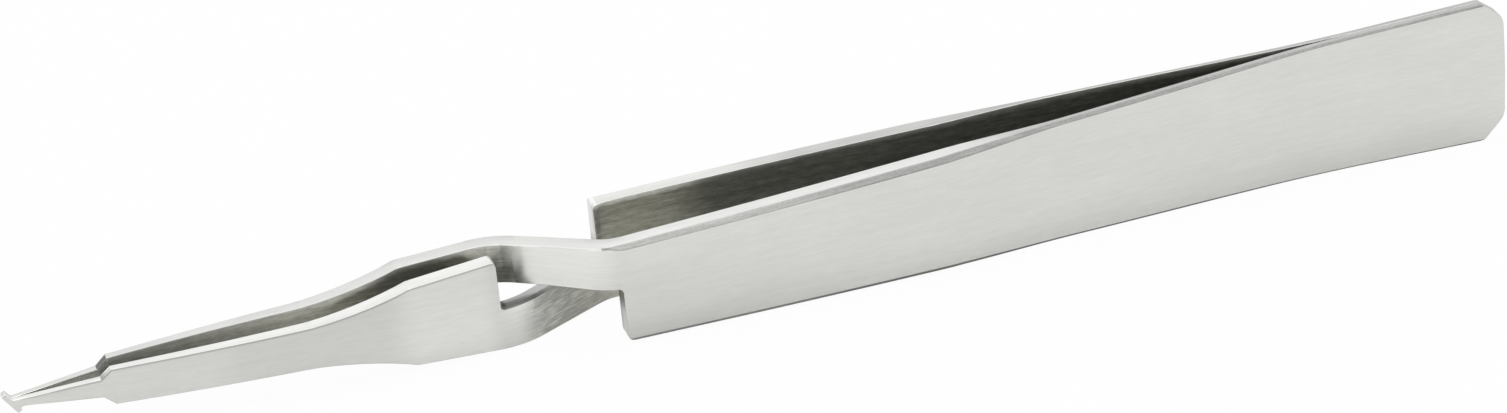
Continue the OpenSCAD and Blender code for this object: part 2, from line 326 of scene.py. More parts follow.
# %% Sizes of the blank
butt_crown = 0.1 * mm
butt_end = butt_crown + 1.8 * mm
upper_cut = 1.35 * mm
lower_cut = 1.8 * mm
shoulder_half = 3.075 * mm
shoulder_slope = math.radians(-20)
beak_half = 1.375 * mm
beak_slope = math.radians(-0.9)
needle_x = step_x + 0.8 * mm
needle_half = 0.69 * mm
needle_end_half = 0.29 * mm
foot_angle = math.radians(55)
foot_length = 1.75 * mm
foot_breadth = 0.38 * mm
foot_rise = 0.6 * mm
front_neck_edge = 0.5 * mm
rear_neck_edge = 0.4 * mm

# %% Corner radii of the blank
butt_face_corner = 1.3 * mm
butt_side_corner = 0.65 * mm
front_grip_corner = 0.7 * mm
rear_grip_corner = 0.3 * mm
root_corner = 0.35 * mm
jaw_corner = 0.4 * mm
shoulder_corner = 0.8 * mm
hollow_corner = 24 * mm
step_corner = 0.1 * mm
foot_root_corner = 0.3 * mm
foot_corner = 0.1 * mm


# %% Corners at the butt and the beak
def meet(one, angle, other, other_angle):
    """Where two lines meet, each given by a point and an angle."""
    x, z = other[0] - one[0], other[1] - one[1]
    offset = x * math.sin(other_angle) - z * math.cos(other_angle)
    reach = offset / math.sin(other_angle - angle)
    return one[0] + reach * math.cos(angle), one[1] + reach * math.sin(angle)


def butt_side(side, up):
    """Two corners at the butt. The lower one is cut back more, whichever way up the arm is."""
    cut = upper_cut if side * up > 0 else lower_cut
    return [
        (butt_crown, side * (half_width(butt_end) - cut), butt_face_corner),
        (butt_end, side * half_width(butt_end), butt_side_corner),
    ]


def beak_side(side):
    """Shoulder, hollow and step."""
    hollow = meet((shoulder_x, shoulder_half), shoulder_slope, (step_x, beak_half), beak_slope)
    return [
        (shoulder_x, side * shoulder_half, shoulder_corner),
        (hollow[0], side * hollow[1], hollow_corner),
        (step_x, side * beak_half, step_corner),
        (needle_x, side * needle_half, step_corner),
    ]


print("corners on one side of butt and beak:", len(butt_side(1, 1)), len(beak_side(1)))


# %% [markdown]
# The needle ends in a slanted foot, which holds a small flat component. It could be a
# piece of its own, but the real one is cut from the same strip. So its corners belong to
# the outline, and are worked out from its angle, length and breadth.

# %% Foot
def foot(up):
    """The slanted foot across the end of the needle."""
    taper = math.atan((needle_half - needle_end_half) / (pad_x - needle_x))
    front = (tip_x, foot_rise)
    back = (tip_x - foot_length * math.cos(foot_angle), foot_rise - foot_length * math.sin(foot_angle))
    across = (-foot_breadth * math.sin(foot_angle), foot_breadth * math.cos(foot_angle))
    heel = (front[0] + across[0], front[1] + across[1])
    root_up = meet((needle_x, needle_half), -taper, heel, foot_angle)
    root_down = meet((needle_x, -needle_half), taper, heel, foot_angle)
    corners = [
        (*root_up, foot_root_corner),
        (*heel, foot_corner),
        (*front, foot_corner),
        (*back, foot_corner),
        (back[0] + across[0], back[1] + across[1], foot_corner),
        (*root_down, foot_root_corner),
    ]
    return corners if up > 0 else [(x, -z, r) for x, z, r in reversed(corners)]


print("corners of the foot:", len(foot(1)))


# %% Corners of the blank
def blank_corners(up, neck_edge, grip_corner):
    """Corners (x, z, radius) once round the blank, with the notches below the neck."""
    butt_room = butt_half - max(upper_cut, lower_cut)
    crown_radius = butt_room / 3 * butt_room / butt_crown
    return [
        (0, 0, crown_radius),
        *butt_side(1, up),
        (grip_end, notch_half, 0),
        (jaw_start, jaw_half, 0),
        *beak_side(1),
        *foot(up),
        *reversed(beak_side(-1)),
        (jaw_start, -jaw_half, jaw_corner),
        (jaw_start, neck_edge, root_corner),
        (grip_end, neck_edge, root_corner),
        (grip_end, -notch_half, grip_corner),
        *reversed(butt_side(-1, up)),
    ]


front_corners = blank_corners(1, front_neck_edge, front_grip_corner)
rear_corners = blank_corners(-1, rear_neck_edge, rear_grip_corner)
print("corners of a blank:", len(front_corners))


# %% [markdown]
# Now the blank goes through the steps of the shop. First its corners are rounded. Wide
# arcs get finer steps than small ones, because their facets would show. Then it is cut
# across at the stations, so that it can bend there, and scored along the bevels. The
# scores start as straight cuts, and where they cross the stations their points slide to
# the bevel's true width.

# %% Flat blank
wide_radius = 2 * mm
wide_arc_turn = 2.5
small_arc_turn = 9


def round_corner(bm, vert, before, here, after):
    """Replaces the corner vert by an arc of its radius."""
    radius = here[2]
    first = Vector((here[0] - before[0], here[1] - before[1]))
    second = Vector((after[0] - here[0], after[1] - here[1]))
    turn = first.angle(second)
    if radius > 0 and turn > 0:
        arc_turn = small_arc_turn if radius < wide_radius else wide_arc_turn
        bmesh.ops.bevel(
            bm, geom=[vert], offset=radius * math.tan(turn / 2), offset_type="OFFSET",
            segments=max(2, math.ceil(math.degrees(turn) / arc_turn)), profile=0.5,
            affect="VERTICES", material=-1, clamp_overlap=False,
        )


def flat_blank(corners):
    """One face in the x-z plane with rounded corners."""
    bm = bmesh.new()
    verts = [bm.verts.new((x, 0, z)) for x, z, _ in corners]
    bm.faces.new(verts)
    count = len(corners)
    for i, vert in enumerate(verts):
        round_corner(bm, vert, corners[i - 1], corners[i], corners[(i + 1) % count])
    return bm


trial = flat_blank(front_corners)
print("points round the front blank:", len(trial.verts))
trial.free()

# %% Scored blank
smallest_edge = 0.01 * mm
on_plane = smallest_edge / 20


def cut(bm, faces, place, normal):
    """Cuts the given faces along a plane and keeps both sides."""
    geometry = {item for face in faces for item in (face, *face.edges, *face.verts)}
    bmesh.ops.bisect_plane(bm, geom=list(geometry), dist=on_plane, plane_co=place, plane_no=normal)


def outline_turns(corners):
    """Where the outline turns: each corner from bend to needle, and both ends of its arc."""
    places = []
    for x, _, radius in corners:
        if bend_x < x <= needle_x:
            places += [x - radius, x, x + radius]
    return places


def score(bm, bends, corners):
    """Cuts the blank across at every station, and along the edge of the bevels.

    On the grip both sides are scored. On the neck the side without the notch is.
    """
    for x in bends.stations(outline_turns(corners)):
        cut(bm, bm.faces, (x, 0, 0), (1, 0, 0))
    at_butt = butt_half - heel_bevel
    at_notch = notch_half - bevel_width(bends, grip_end)
    slope = (at_butt - at_notch) / grip_end
    for side in (1, -1):
        grip = [face for face in bm.faces if face.calc_center_median().x < grip_end]
        cut(bm, grip, (0, 0, side * at_butt), (slope, 0, side))
    slope = (at_notch - jaw_half + least_bevel) / (jaw_start - grip_end)
    neck = [face for face in bm.faces if grip_end < face.calc_center_median().x < jaw_start]
    cut(bm, neck, (grip_end, 0, at_notch), (slope, 0, 1))
    bmesh.ops.remove_doubles(bm, verts=bm.verts, dist=smallest_edge)


def slide_scores(bm, bends):
    """Moves the points of the scores to the true edge of the bevel."""
    for vert in bm.verts:
        x, z = vert.co.x, vert.co.z
        if not vert.is_boundary and x > butt_end:
            room = max(abs(edge.other_vert(vert).co.z) for edge in vert.link_edges)
            depth = long_edge(x) - bevel_width(bends, x)
            vert.co.z = math.copysign(min(depth, room), z)


trial = flat_blank(front_corners)
score(trial, front_bends, front_corners)
print("faces of the scored blank:", len(trial.faces))
trial.free()


# %% [markdown]
# One extrusion gives the blank its second face. The points of both faces then move to
# the heights of the bent strip, and the outer ones past a score lie lower, which tilts
# the bevels. On the inner face the scores are of no use, so they are dissolved again.
# Solidify and Simple Deform could do this as modifiers, but they know neither the
# changing thickness nor six bends in a row.

# %% Bent strip
merge_distance = 0.002 * mm
flat_normal = 0.9


def runs_along(edge):
    """Whether an edge is part of a score, and so of no use on the inner side."""
    if edge.is_boundary or any(len(face.verts) < 3 for face in edge.link_faces):
        return False
    first, last = edge.verts
    inside = all(abs(face.normal.y) > flat_normal for face in edge.link_faces)
    return inside and abs(first.co.x - last.co.x) > abs(first.co.z - last.co.z)


def thicken_and_bend(bm, bends):
    """Gives the blank its two faces, with the bevels on the outer one."""
    grown = bmesh.ops.extrude_face_region(bm, geom=bm.faces[:])["geom"]
    outer = [item for item in grown if isinstance(item, bmesh.types.BMVert)]
    inner = set(bm.verts) - set(outer)
    scores = [e for e in bm.edges if inner.issuperset(e.verts) and runs_along(e)]
    bmesh.ops.dissolve_edges(bm, edges=scores, use_verts=True)
    inner = {vert for vert in inner if vert.is_valid}
    for vert in inner:
        vert.co.y = bends.inner_at(vert.co.x)
    for vert in outer:
        x = vert.co.x
        beyond_bevel = abs(vert.co.z) - (long_edge(x) - bevel_width(bends, x))
        least = least_bevel if x > bend_x else 0
        vert.co.y = bends.outer_at(x) - (beyond_bevel if beyond_bevel > least else 0)
    bmesh.ops.remove_doubles(bm, verts=bm.verts, dist=merge_distance)
    bmesh.ops.dissolve_degenerate(bm, dist=merge_distance / 2, edges=bm.edges)
    bmesh.ops.recalc_face_normals(bm, faces=bm.faces)


# %% [markdown]
# Which finish a face gets depends on how it was made. The broad sides are brushed. The
# bevels and the long rims are ground. The notches and the step are sheared by the press.
# The rubbed edge of the neck is worn. The way a face points and its place tell these
# apart, so none is picked by hand.

# %% Finishes by face
BRUSHED, BEVEL, RIM, SHEARED, WORN = range(5)
bevel_end = grip_end + 1.2 * mm
rim_normal = 0.3
bevel_normal = 0.5


def is_sheared(place):
    """Whether a rim at this place is a cut of the press: in the notches and at the step."""
    in_notch = grip_end - 0.4 * mm < place.x < jaw_start + 0.3 * mm and place.z < notch_half / 2
    on_step = step_x < place.x < needle_x
    return in_notch or on_step


def sort_faces(bm):
    """Marks each face with its finish, by the way it points and the place it has."""
    for face in bm.faces:
        place = face.calc_center_median()
        if abs(face.normal.y) < rim_normal:
            face.material_index = SHEARED if is_sheared(place) else RIM
        elif abs(face.normal.z) > bevel_normal and place.x < jaw_start:
            face.material_index = BEVEL if place.x < bevel_end else WORN
        else:
            face.material_index = BRUSHED


# %% [markdown]
# Every sharp edge that is left then gets a fine break, whose faces wear bright too. A
# Bevel modifier could do it, but the attributes for the grain have to be written on the
# new points as well, so the operator does it here.

# %% Edge breaks
edge_break = 0.035 * mm
break_angle = math.radians(60)


def break_edges(bm):
    """Rounds every sharp edge, and says how many there were."""
    sharp = [e for e in bm.edges if e.is_manifold and e.calc_face_angle() > break_angle]
    made = bmesh.ops.bevel(
        bm, geom=sharp, offset=edge_break, offset_type="OFFSET", segments=2, profile=0.5,
        affect="EDGES", material=-1, loop_slide=False, clamp_overlap=False,
    )
    for face in made["faces"]:
        face.material_index = WORN
    return len(sharp)


# %% [markdown]
# The grain of the steel follows the strip round its bends. Object coordinates would cut straight
# through them, so every point also keeps its place on the flat blank: along, through and across.
# Materials read that attribute. A second one says how far a point lies between the arms, where nobody
# brushed the steel, and on the outer side of the neck beside the jaw it carries painted shade, where
# the other jaw shadows it. A third says how far down the bevel it lies, from 0 at the broad side to 1
# at the rim, and a fourth how deep below the upper rim, from where painted light falls in between the
# arms.

# %% Attributes for the grain
upper_part = 1 * mm
slice_digits = 5


def write_attribute(mesh, name, kind, field, values):
    """Stores one value or one vector for each point."""
    layer = mesh.attributes.new(name, kind, "POINT")
    layer.data.foreach_set(field, values.astype(np.float32).ravel())


def depth_below_rim(x, z, up):
    """How deep each point lies below the upper rim.

    The side without the notch gives the height of the rim for both arms, slice by slice
    along the strip. Up to the step only points well above the middle line are taken.
    """
    on_rim = z > np.where(x < step_x, upper_part, 0)
    slices = np.unique(np.round(x[on_rim], slice_digits))
    tops = [z[np.abs(x - at) < 2 * smallest_edge].max() for at in slices]
    return np.interp(x, slices, tops) - up * z


def note_places(mesh, bends, up):
    """Writes where each point lay on the flat blank, how sheltered it is, with painted shade on the
    neck beside the jaw, and how deep it is.
    """
    points = np.empty(len(mesh.vertices) * 3)
    mesh.vertices.foreach_get("co", points)
    x, y, z = points.reshape(-1, 3).T
    through = y - np.interp(x, bends.x, bends.inner)
    outside = through > thickness(x) / 2
    crossed = eased(x, grip_end + 2 * mm, grip_end + 9 * mm)
    # Painted shade on the outer side of the neck beside the jaw, where the other jaw shadows it.
    jaw_shadow = eased(x, jaw_start - 2.3 * mm, jaw_start - 1 * mm)
    widths = np.array([max(bevel_width(bends, at), smallest_edge) for at in x])
    bevelled = np.clip((thickness(x) - through) / widths, 0, 2)
    write_attribute(mesh, "blank_place", "FLOAT_VECTOR", "vector", np.column_stack([x, through, z]))
    write_attribute(mesh, "sheltered_and_shaded", "FLOAT", "value", np.where(outside, jaw_shadow, 1 - crossed))
    write_attribute(mesh, "bevelled", "FLOAT", "value", bevelled)
    write_attribute(mesh, "below_rim", "FLOAT", "value", depth_below_rim(x, z, up))


# %% [markdown]
# Both arms are nearly the same strip. The rear one is turned half round its length, as
# it is in the real tool. A mirrored copy would be quicker, but both necks would then run
# at the same height and couldn't cross. The tool lies on its long lower edges with the
# tip towards -X, as the solids do. Each place is put into the mesh itself, so that the
# object stays at the origin.

# %% Placing of the arms
laid_down = (
    Matrix.Translation((tip_x * math.cos(tilt) / 2, 0, butt_half * math.cos(tilt)))
    @ Matrix.Rotation(math.pi, 4, "Z")
    @ Matrix.Rotation(tilt, 4, "Y")
)
turned_over = Matrix.Rotation(math.pi, 4, "X")
print("the butt ends up at mm:", [round(v / mm, 2) for v in laid_down.translation])

# %% The two arms
crease_angle = math.radians(38)


def shade_smooth(bm):
    """Shades all faces smooth, and keeps the creases between them sharp."""
    for face in bm.faces:
        face.smooth = True
    bm.normal_update()
    for edge in bm.edges:
        edge.smooth = not (edge.is_manifold and edge.calc_face_angle() > crease_angle)


def make_strip(name, bends, corners, placing, up):
    """One arm from butt to foot, in its place in the frame. up is -1 if it is turned over."""
    bm = flat_blank(corners)
    score(bm, bends, corners)
    slide_scores(bm, bends)
    thicken_and_bend(bm, bends)
    sort_faces(bm)
    broken = break_edges(bm)
    shade_smooth(bm)
    mesh = bpy.data.meshes.new(name)
    bm.to_mesh(mesh)
    bm.free()
    note_places(mesh, bends, up)
    mesh.transform(placing)
    mesh.update()
    strip = bpy.data.objects.new(name, mesh)
    bpy.context.scene.collection.objects.link(strip)
    even = strip.modifiers.new("Even shading", "WEIGHTED_NORMAL")
    even.mode = "FACE_AREA"
    even.keep_sharp = True
    print(name, "has", broken, "broken edges and", len(mesh.polygons), "faces")
    return strip


front_strip = make_strip("front_arm_strip", front_bends, front_corners, laid_down, 1)
rear_strip = make_strip("rear_arm_strip", rear_bends, rear_corners, laid_down @ turned_over, -1)

# %% How well the strips sit on the solids
for strip, arm in ((front_strip, "front"), (rear_strip, "rear")):
    lows, highs = zip(*(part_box(f"{arm}_{part}") for part in ("heel", "blade")))
    solid = [min(low[i] for low in lows) for i in range(3)]
    solid += [max(high[i] for high in highs) for i in range(3)]
    own = [end([v.co[i] for v in strip.data.vertices]) for end in (min, max) for i in range(3)]
    print(strip.name, "off the solids in mm:", [round((a - b) / mm, 3) for a, b in zip(own, solid)])

# %% [markdown]
# A real arm bends along its whole spring. The solids can only turn at a hinge, so each strip takes the
# place of a heel and a blade, which are hidden. Parting it at the hinge would show as a kink.

# %% Hiding the solids
for strip, arm in ((front_strip, "front"), (rear_strip, "rear")):
    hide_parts(f"{arm}_heel", f"{arm}_blade")
    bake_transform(strip)


# %% [markdown]
# Shader maths reads best as plain sums. A small class wraps a socket, and the signs of
# Python then add Math nodes. Everything else goes through one method that takes a
# node's type, its settings and its inputs.

# %% Values and outputs
class Value:
    """A number, colour or vector that varies over a surface. The signs work on numbers."""

    def __init__(self, nodes, socket):
        self.nodes = nodes
        self.socket = socket

    def maths(self, operation, first, second):
        return self.nodes.node("ShaderNodeMath", {"operation": operation}, {0: first, 1: second})[0]

    def __add__(self, other):
        return self.maths("ADD", self, other)

    def __radd__(self, other):
        return self.maths("ADD", other, self)

    def __sub__(self, other):
        return self.maths("SUBTRACT", self, other)

    def __rsub__(self, other):
        return self.maths("SUBTRACT", other, self)

    def __mul__(self, other):
        return self.maths("MULTIPLY", self, other)

    def __rmul__(self, other):
        return self.maths("MULTIPLY", other, self)


class Outputs:
    """The outputs of a node, by name or number."""

    def __init__(self, nodes, node):
        self.nodes = nodes
        self.node = node

    def __getitem__(self, key):
        return Value(self.nodes, self.node.outputs[key])


# %% Nodes
class Nodes:
    """A node tree, and the one method that adds to it."""

    def __init__(self, tree):
        self.tree = tree

    def put(self, socket, value):
        """Links a Value to a socket, or sets a plain number, colour or vector on it."""
        if isinstance(value, Value):
            self.tree.links.new(value.socket, socket)
        else:
            socket.default_value = value

    def node(self, kind, settings, inputs):
        """Adds a node, sets it up, fills its inputs and gives its outputs."""
        node = self.tree.nodes.new(kind)
        for key, value in settings.items():
            setattr(node, key, value)
        for key, value in inputs.items():
            self.put(node.inputs[key], value)
        return Outputs(self, node)


# %% [markdown]
# All finishes share a few moves: a noise along the grain, a ramp that eases in, a stretch
# of the arm between two ramps, a blend of colours, a bump. A noise takes its waves per
# metre along, through and across, which says more than a scale.

# %% Finish
class Finish(Nodes):
    """The node tree of one material."""

    def __init__(self, name):
        self.material = bpy.data.materials.new(name)
        self.material.use_nodes = True
        super().__init__(self.material.node_tree)
        self.shader = self.tree.nodes["Principled BSDF"]

    def shade(self, **inputs):
        """Fills the sockets of the main shader: base_color becomes Base Color."""
        for key, value in inputs.items():
            self.put(self.shader.inputs[key.replace("_", " ").title()], value)

    def noise(self, place, waves, detail, rough):
        """Noise from 0 to 1 with so many waves per metre along each axis."""
        scaled = self.node("ShaderNodeVectorMath", {"operation": "MULTIPLY"}, {0: place, 1: waves})
        inputs = {"Vector": scaled["Vector"], "Scale": 1.0, "Detail": detail, "Roughness": rough}
        return self.node("ShaderNodeTexNoise", {}, inputs)[0]

    def between(self, value, low, high):
        """Eases from 0 to 1 as value goes from low to high."""
        inputs = {"Value": value, "From Min": low, "From Max": high}
        return self.node("ShaderNodeMapRange", {"interpolation_type": "SMOOTHSTEP"}, inputs)[0]

    def stretch(self, value, start, full, fade, end):
        """1 from full to fade, easing in from start and out to end."""
        return self.between(value, start, full) * (1 - self.between(value, fade, end))

    def blend(self, share, first, second):
        """Mixes two colours or two colour Values."""
        inputs = {0: share, 6: first, 7: second}
        return self.node("ShaderNodeMix", {"data_type": "RGBA"}, inputs)[2]

    def tint(self, level, warmth):
        """A steel colour from a varying level, as grey makes it from a plain one."""
        return self.node("ShaderNodeCombineColor", {}, {0: level, 1: level, 2: level * (1 - warmth)})[0]

    def attribute(self, name):
        """A number that the mesh stores for each point."""
        return self.node("ShaderNodeAttribute", {"attribute_name": name}, {})["Fac"]

    def blank_place(self):
        """The place on the flat blank as a vector, and its three parts: along, through, across."""
        vector = self.node("ShaderNodeAttribute", {"attribute_name": "blank_place"}, {})["Vector"]
        parts = self.node("ShaderNodeSeparateXYZ", {}, {0: vector})
        return vector, parts["X"], parts["Y"], parts["Z"]

    def bump(self, height, distance, strength):
        """Normal of a surface that height raises by up to distance, in metres."""
        inputs = {"Height": height, "Distance": distance, "Strength": strength}
        return self.node("ShaderNodeBump", {}, inputs)["Normal"]


def grey(level, warmth):
    """A steel colour, a little warm: warmth takes away blue."""
    return (level, level, level * (1 - warmth), 1)


# %% [markdown]
# Brushed stainless steel is a bright metal full of fine scratches that all run the same
# way. From afar they show as faint streaks that are hundreds of times longer than wide,
# with a soft cloudiness under them. A picture of brushed steel could be laid on, but it
# would blur up close and swim over the bends. Noise on the place on the blank stays
# crisp and follows them. Streaks and clouds vary the colour and the roughness a little,
# and the streaks also tilt the surface.

# %% Grain of a broad side
class Side(Finish):
    """Finish of a broad side, with the places and the grain that all its colours share."""

    def __init__(self, name):
        super().__init__(name)
        self.place, self.along, self.through, self.across = self.blank_place()
        self.sheltered_and_shaded = self.attribute("sheltered_and_shaded")
        self.below_rim = self.attribute("below_rim")
        self.outside = self.between(self.through, 0.55 * mm, 0.6 * mm)
        self.fine = self.noise(self.place, (700, 20, 9000), 3.0, 0.6)
        self.broad = self.noise(self.place, (110, 20, 2600), 2.0, 0.5)
        self.cloud = self.noise(self.place, (150, 60, 300), 3.0, 0.6)


# %% [markdown]
# Where hands and cloths reach it, the steel is bright. On the grip it is a little darker towards the
# notch, and painted shade makes it darker towards the lower edge than at the top, for the floor and the
# tool's shadow that it mirrors. The neck gets a painted highlight, the jaw is a little brighter and the
# hollow of the beak duller, and past the neck a thin line along the upper rim gets painted shade. Soft
# steps along the arm change the level of the colour.

# %% Brushed steel
def brushed_steel(side):
    """Colour of the steel that faces out."""
    along = side.along
    tone = side.between(0.5 * side.fine + 0.25 * side.broad + 0.25 * side.cloud, 0.25, 0.75)
    toward_notch = side.between(along, thicken_end, grip_end)
    neck = side.stretch(along, grip_end - 0.5 * mm, grip_end + 2 * mm, jaw_start - 2 * mm, jaw_start)
    jaw = side.stretch(along, jaw_start, jaw_start + 1.5 * mm, shoulder_x - 1 * mm, shoulder_x + 2 * mm)
    hollow = side.stretch(along, shoulder_x, shoulder_x + 3 * mm, step_x - 10.2 * mm, step_x - 6.2 * mm)
    # Painted shade: on the grip the colour darkens towards the lower edge.
    level = 1.04 - 0.04 * toward_notch + toward_notch * side.across * (0.055 / (3 * mm))
    # The neck term is a painted highlight.
    level = level + 0.15 * neck + 0.09 * jaw - 0.06 * hollow
    # Painted shade along the upper rim past the neck.
    past_neck = side.between(along, jaw_start, jaw_start + 0.5 * mm)
    rim_shade = 1 - side.between(side.below_rim, 0.05 * mm, 0.2 * mm)
    return side.tint((0.71 + 0.1 * tone) * level * (1 - 0.3 * past_neck * rim_shade), 0.035)


# %% [markdown]
# Between the arms the steel was never brushed after rolling, so it is rougher and blotchy. It is darker
# too, and most of that is shadow and mirrored steel, which the render makes by itself. Painted shade
# and painted light are laid over that in the colour. Two maps say how much light falls in along the
# arm, and how near a place lies to the upper rim, from where light falls in.

# %% Painted light between the arms
def light_between_arms(side, jaw_shade):
    """Painted light between the arms, from 0 in the closed gap to 1 at its open end. jaw_shade paints
    shade on the jaw again.
    """
    along = side.along
    ragged = side.between(along + 3 * mm * side.cloud, grip_end - 8.2 * mm, grip_end - 4.2 * mm)
    edge_line = side.between(along, grip_end - 1.2 * mm, grip_end - 0.4 * mm)
    on_grip = ragged * (1 - 0.2 * edge_line)
    on_jaw = side.between(along, jaw_start - 1 * mm, jaw_start + 0.6 * mm)
    share = on_grip + on_jaw * (1 - on_grip) - (1 - on_jaw) * side.outside * on_grip
    beak = side.between(along, shoulder_x + 3 * mm, step_x - 4 * mm)
    jaw = side.stretch(
        along, jaw_start + 1.3 * mm, jaw_start + 4.3 * mm, shoulder_x - 0.2 * mm, shoulder_x + 3.8 * mm
    )
    return share * (1 - 0.85 * beak) * (1 - jaw_shade * jaw)


def rim_light(side):
    """From 0 deep between the arms to 1 at the upper rim. It reaches deeper on the neck."""
    along = side.along
    neck = side.stretch(
        along, jaw_start - 1.1 * mm, jaw_start - 0.2 * mm, jaw_start + 0.4 * mm, jaw_start + 2 * mm
    )
    beak = side.between(along, shoulder_x + 2.3 * mm, shoulder_x + 7.3 * mm)
    reach = 0.5 * mm + 0.7 * mm * beak + 1.6 * mm * neck
    return 1 - side.between(side.below_rim, 0.05 * mm, reach)


# %% Rolled steel
def rolled_steel(side, share, light):
    """Colour of the steel between the arms, with painted shade in the gap and painted light where it
    opens and at the rim.
    """
    dashes = side.between(side.noise(side.place, (420, 20, 5200), 3.0, 0.65), 0.5, 0.7)
    blotches = side.noise(side.place, (1100, 20, 3200), 3.0, 0.7)
    rolled = side.between(0.3 * side.fine + 0.3 * side.broad + 0.4 * blotches, 0.36, 0.64)
    # Painted light near the rim, and painted shade deep in the gap, lighter where it opens.
    mottled = rolled * 0.8 + dashes * 0.5 + light * 0.5
    shaded_gap = side.blend(mottled, grey(0.3, 0.08), grey(0.58, 0.06))
    lit_gap = side.blend(mottled, grey(0.5, 0.11), grey(0.9, 0.07))
    return side.blend(share, shaded_gap, lit_gap)


# %% [markdown]
# The necks slide past each other, so their inner sides are scratched. Dirt settles on
# the outer side of the rear one, along the edge of its notch. Both are one dark colour
# over the clean one, laid on through a mask.

# %% Marks on the neck
def neck_marks(side, smudge):
    """Mask of the scratches, and of the smudge, which is as strong as smudge says."""
    neck = side.stretch(side.along, grip_end, grip_end + 3 * mm, jaw_start - 4 * mm, jaw_start - 1 * mm)
    inside = 1 - side.between(side.through, 0.3 * mm, 0.6 * mm)
    clear = side.between(side.noise(side.place, (900, 20, 4200), 4.0, 0.7), 0.38, 0.68)
    past_edge = side.between(side.across, rear_neck_edge + 0.1 * mm, rear_neck_edge + 0.9 * mm)
    return 0.68 * neck * inside * (1 - clear) + smudge * neck * side.outside * (1 - past_edge)


# %% Broad sides
def broad_side(name, smudge, jaw_shade):
    side = Side(name)
    share = light_between_arms(side, jaw_shade)
    light = rim_light(side)
    clean = side.blend(side.sheltered_and_shaded, brushed_steel(side), rolled_steel(side, share, light))
    side.shade(
        base_color=side.blend(neck_marks(side, smudge), clean, grey(0.3, 0.03)),
        metallic=1.0,
        roughness=0.18 + 0.08 * side.fine + side.sheltered_and_shaded * (0.12 + light * (0.12 + 0.23 * share)),
        normal=side.bump(0.7 * side.fine + 0.3 * side.broad, 0.004 * mm, 0.6),
    )
    return side.material


front_sides = broad_side("front_sides", 0.0, 0.95)
rear_sides = broad_side("rear_sides", 0.75, 0.0)
print("nodes of a broad side:", len(front_sides.node_tree.nodes))


# %% [markdown]
# The bevels come off a coarse wheel, whose short marks scatter the light, so they look darker than the
# sides, and their colour is painted darker still for the dim part of the room that they mirror. A fine
# line along the broad side is darker again, and towards the rim the bevel has a painted highlight. Both
# lines follow the attribute that counts down the bevel, because its width changes along the arm.

# %% Ground bevels
def ground_bevel():
    finish = Finish("ground_bevel")
    place, along, _, _ = finish.blank_place()
    down = finish.attribute("bevelled")
    grain = finish.noise(place, (5000, 5000, 9000), 3.0, 0.7)
    lines = finish.noise(place, (500, 6000, 6000), 2.0, 0.6)
    tone = finish.between(0.6 * grain + 0.4 * lines, 0.3, 0.7)
    near_notch = finish.between(along, bow_x + 4.5 * mm, bow_x + 16.5 * mm)
    side_line = 1 - finish.between(down, 0.08, 0.22)
    # Painted shade makes the bevel darker than its grinding alone, and a painted highlight lightens it
    # towards the rim.
    level = 0.29 + 0.1 * near_notch + 0.15 * tone
    level = level * (1 - 0.22 * side_line) + 0.12 * finish.between(down, 0.72, 1)
    finish.shade(
        base_color=finish.tint(level, 0.03),
        metallic=1.0,
        roughness=0.36 + 0.12 * grain,
        normal=finish.bump(grain, 0.003 * mm, 0.6),
    )
    return finish.material


bevels = ground_bevel()
print("nodes of a bevel:", len(bevels.node_tree.nodes))


# %% [markdown]
# The long rims are ground along their length. The rim of the thin spring is duller than that of the
# grip. At the jaw the rim of the rear arm is painted lighter and that of the front arm darker, and
# along the bow the rear rim is painted darker, as light falls on each arm. One function makes both
# rims, with this painted light as arguments.

# %% Ground rims
def ground_rim(name, jaw_painted_light, bow_painted_light):
    finish = Finish(name)
    place, along, through, _ = finish.blank_place()
    lines = finish.noise(place, (300, 7000, 7000), 2.0, 0.6)
    cloud = finish.noise(place, (260, 900, 900), 2.0, 0.6)
    tone = finish.between(0.6 * lines + 0.4 * cloud, 0.3, 0.7)
    thick = finish.between(along, thicken_start, thicken_end)
    jaw = finish.between(along, grip_end - 1 * mm, grip_end + 3 * mm)
    outwards = finish.between(through, 0.2 * mm, 1.4 * mm)
    bow = thick * (1 - finish.between(along, bow_x + 8.5 * mm, bow_x + 17.5 * mm))
    # The arm's two arguments paint light and shade on the jaw and the bow.
    level = 0.42 + 0.23 * thick + jaw_painted_light * jaw + bow_painted_light * bow
    level = level + 0.08 * tone + 0.04 * thick * outwards
    finish.shade(
        base_color=finish.tint(level, 0.025),
        metallic=1.0,
        roughness=0.26 + 0.1 * lines,
        normal=finish.bump(lines, 0.003 * mm, 0.6),
    )
    return finish.material


front_rim = ground_rim("front_rim", -0.05, 0.0)
rear_rim = ground_rim("rear_rim", 0.06, -0.18)
print("nodes of a rim:", len(front_rim.node_tree.nodes))


# %% [markdown]
# A press cuts the notches. Its punch shears the first part of the thickness clean and tears the rest,
# so each cut has a bright band and a dark, rough one with a wandering border. Two materials would need
# an edge between them. One that blends over the thickness doesn't. The root of the notch beside the jaw
# has painted shade. On the step one face is painted lighter and the other darker, as light falls on
# them, and the cuts are lighter towards one long edge of the strip.

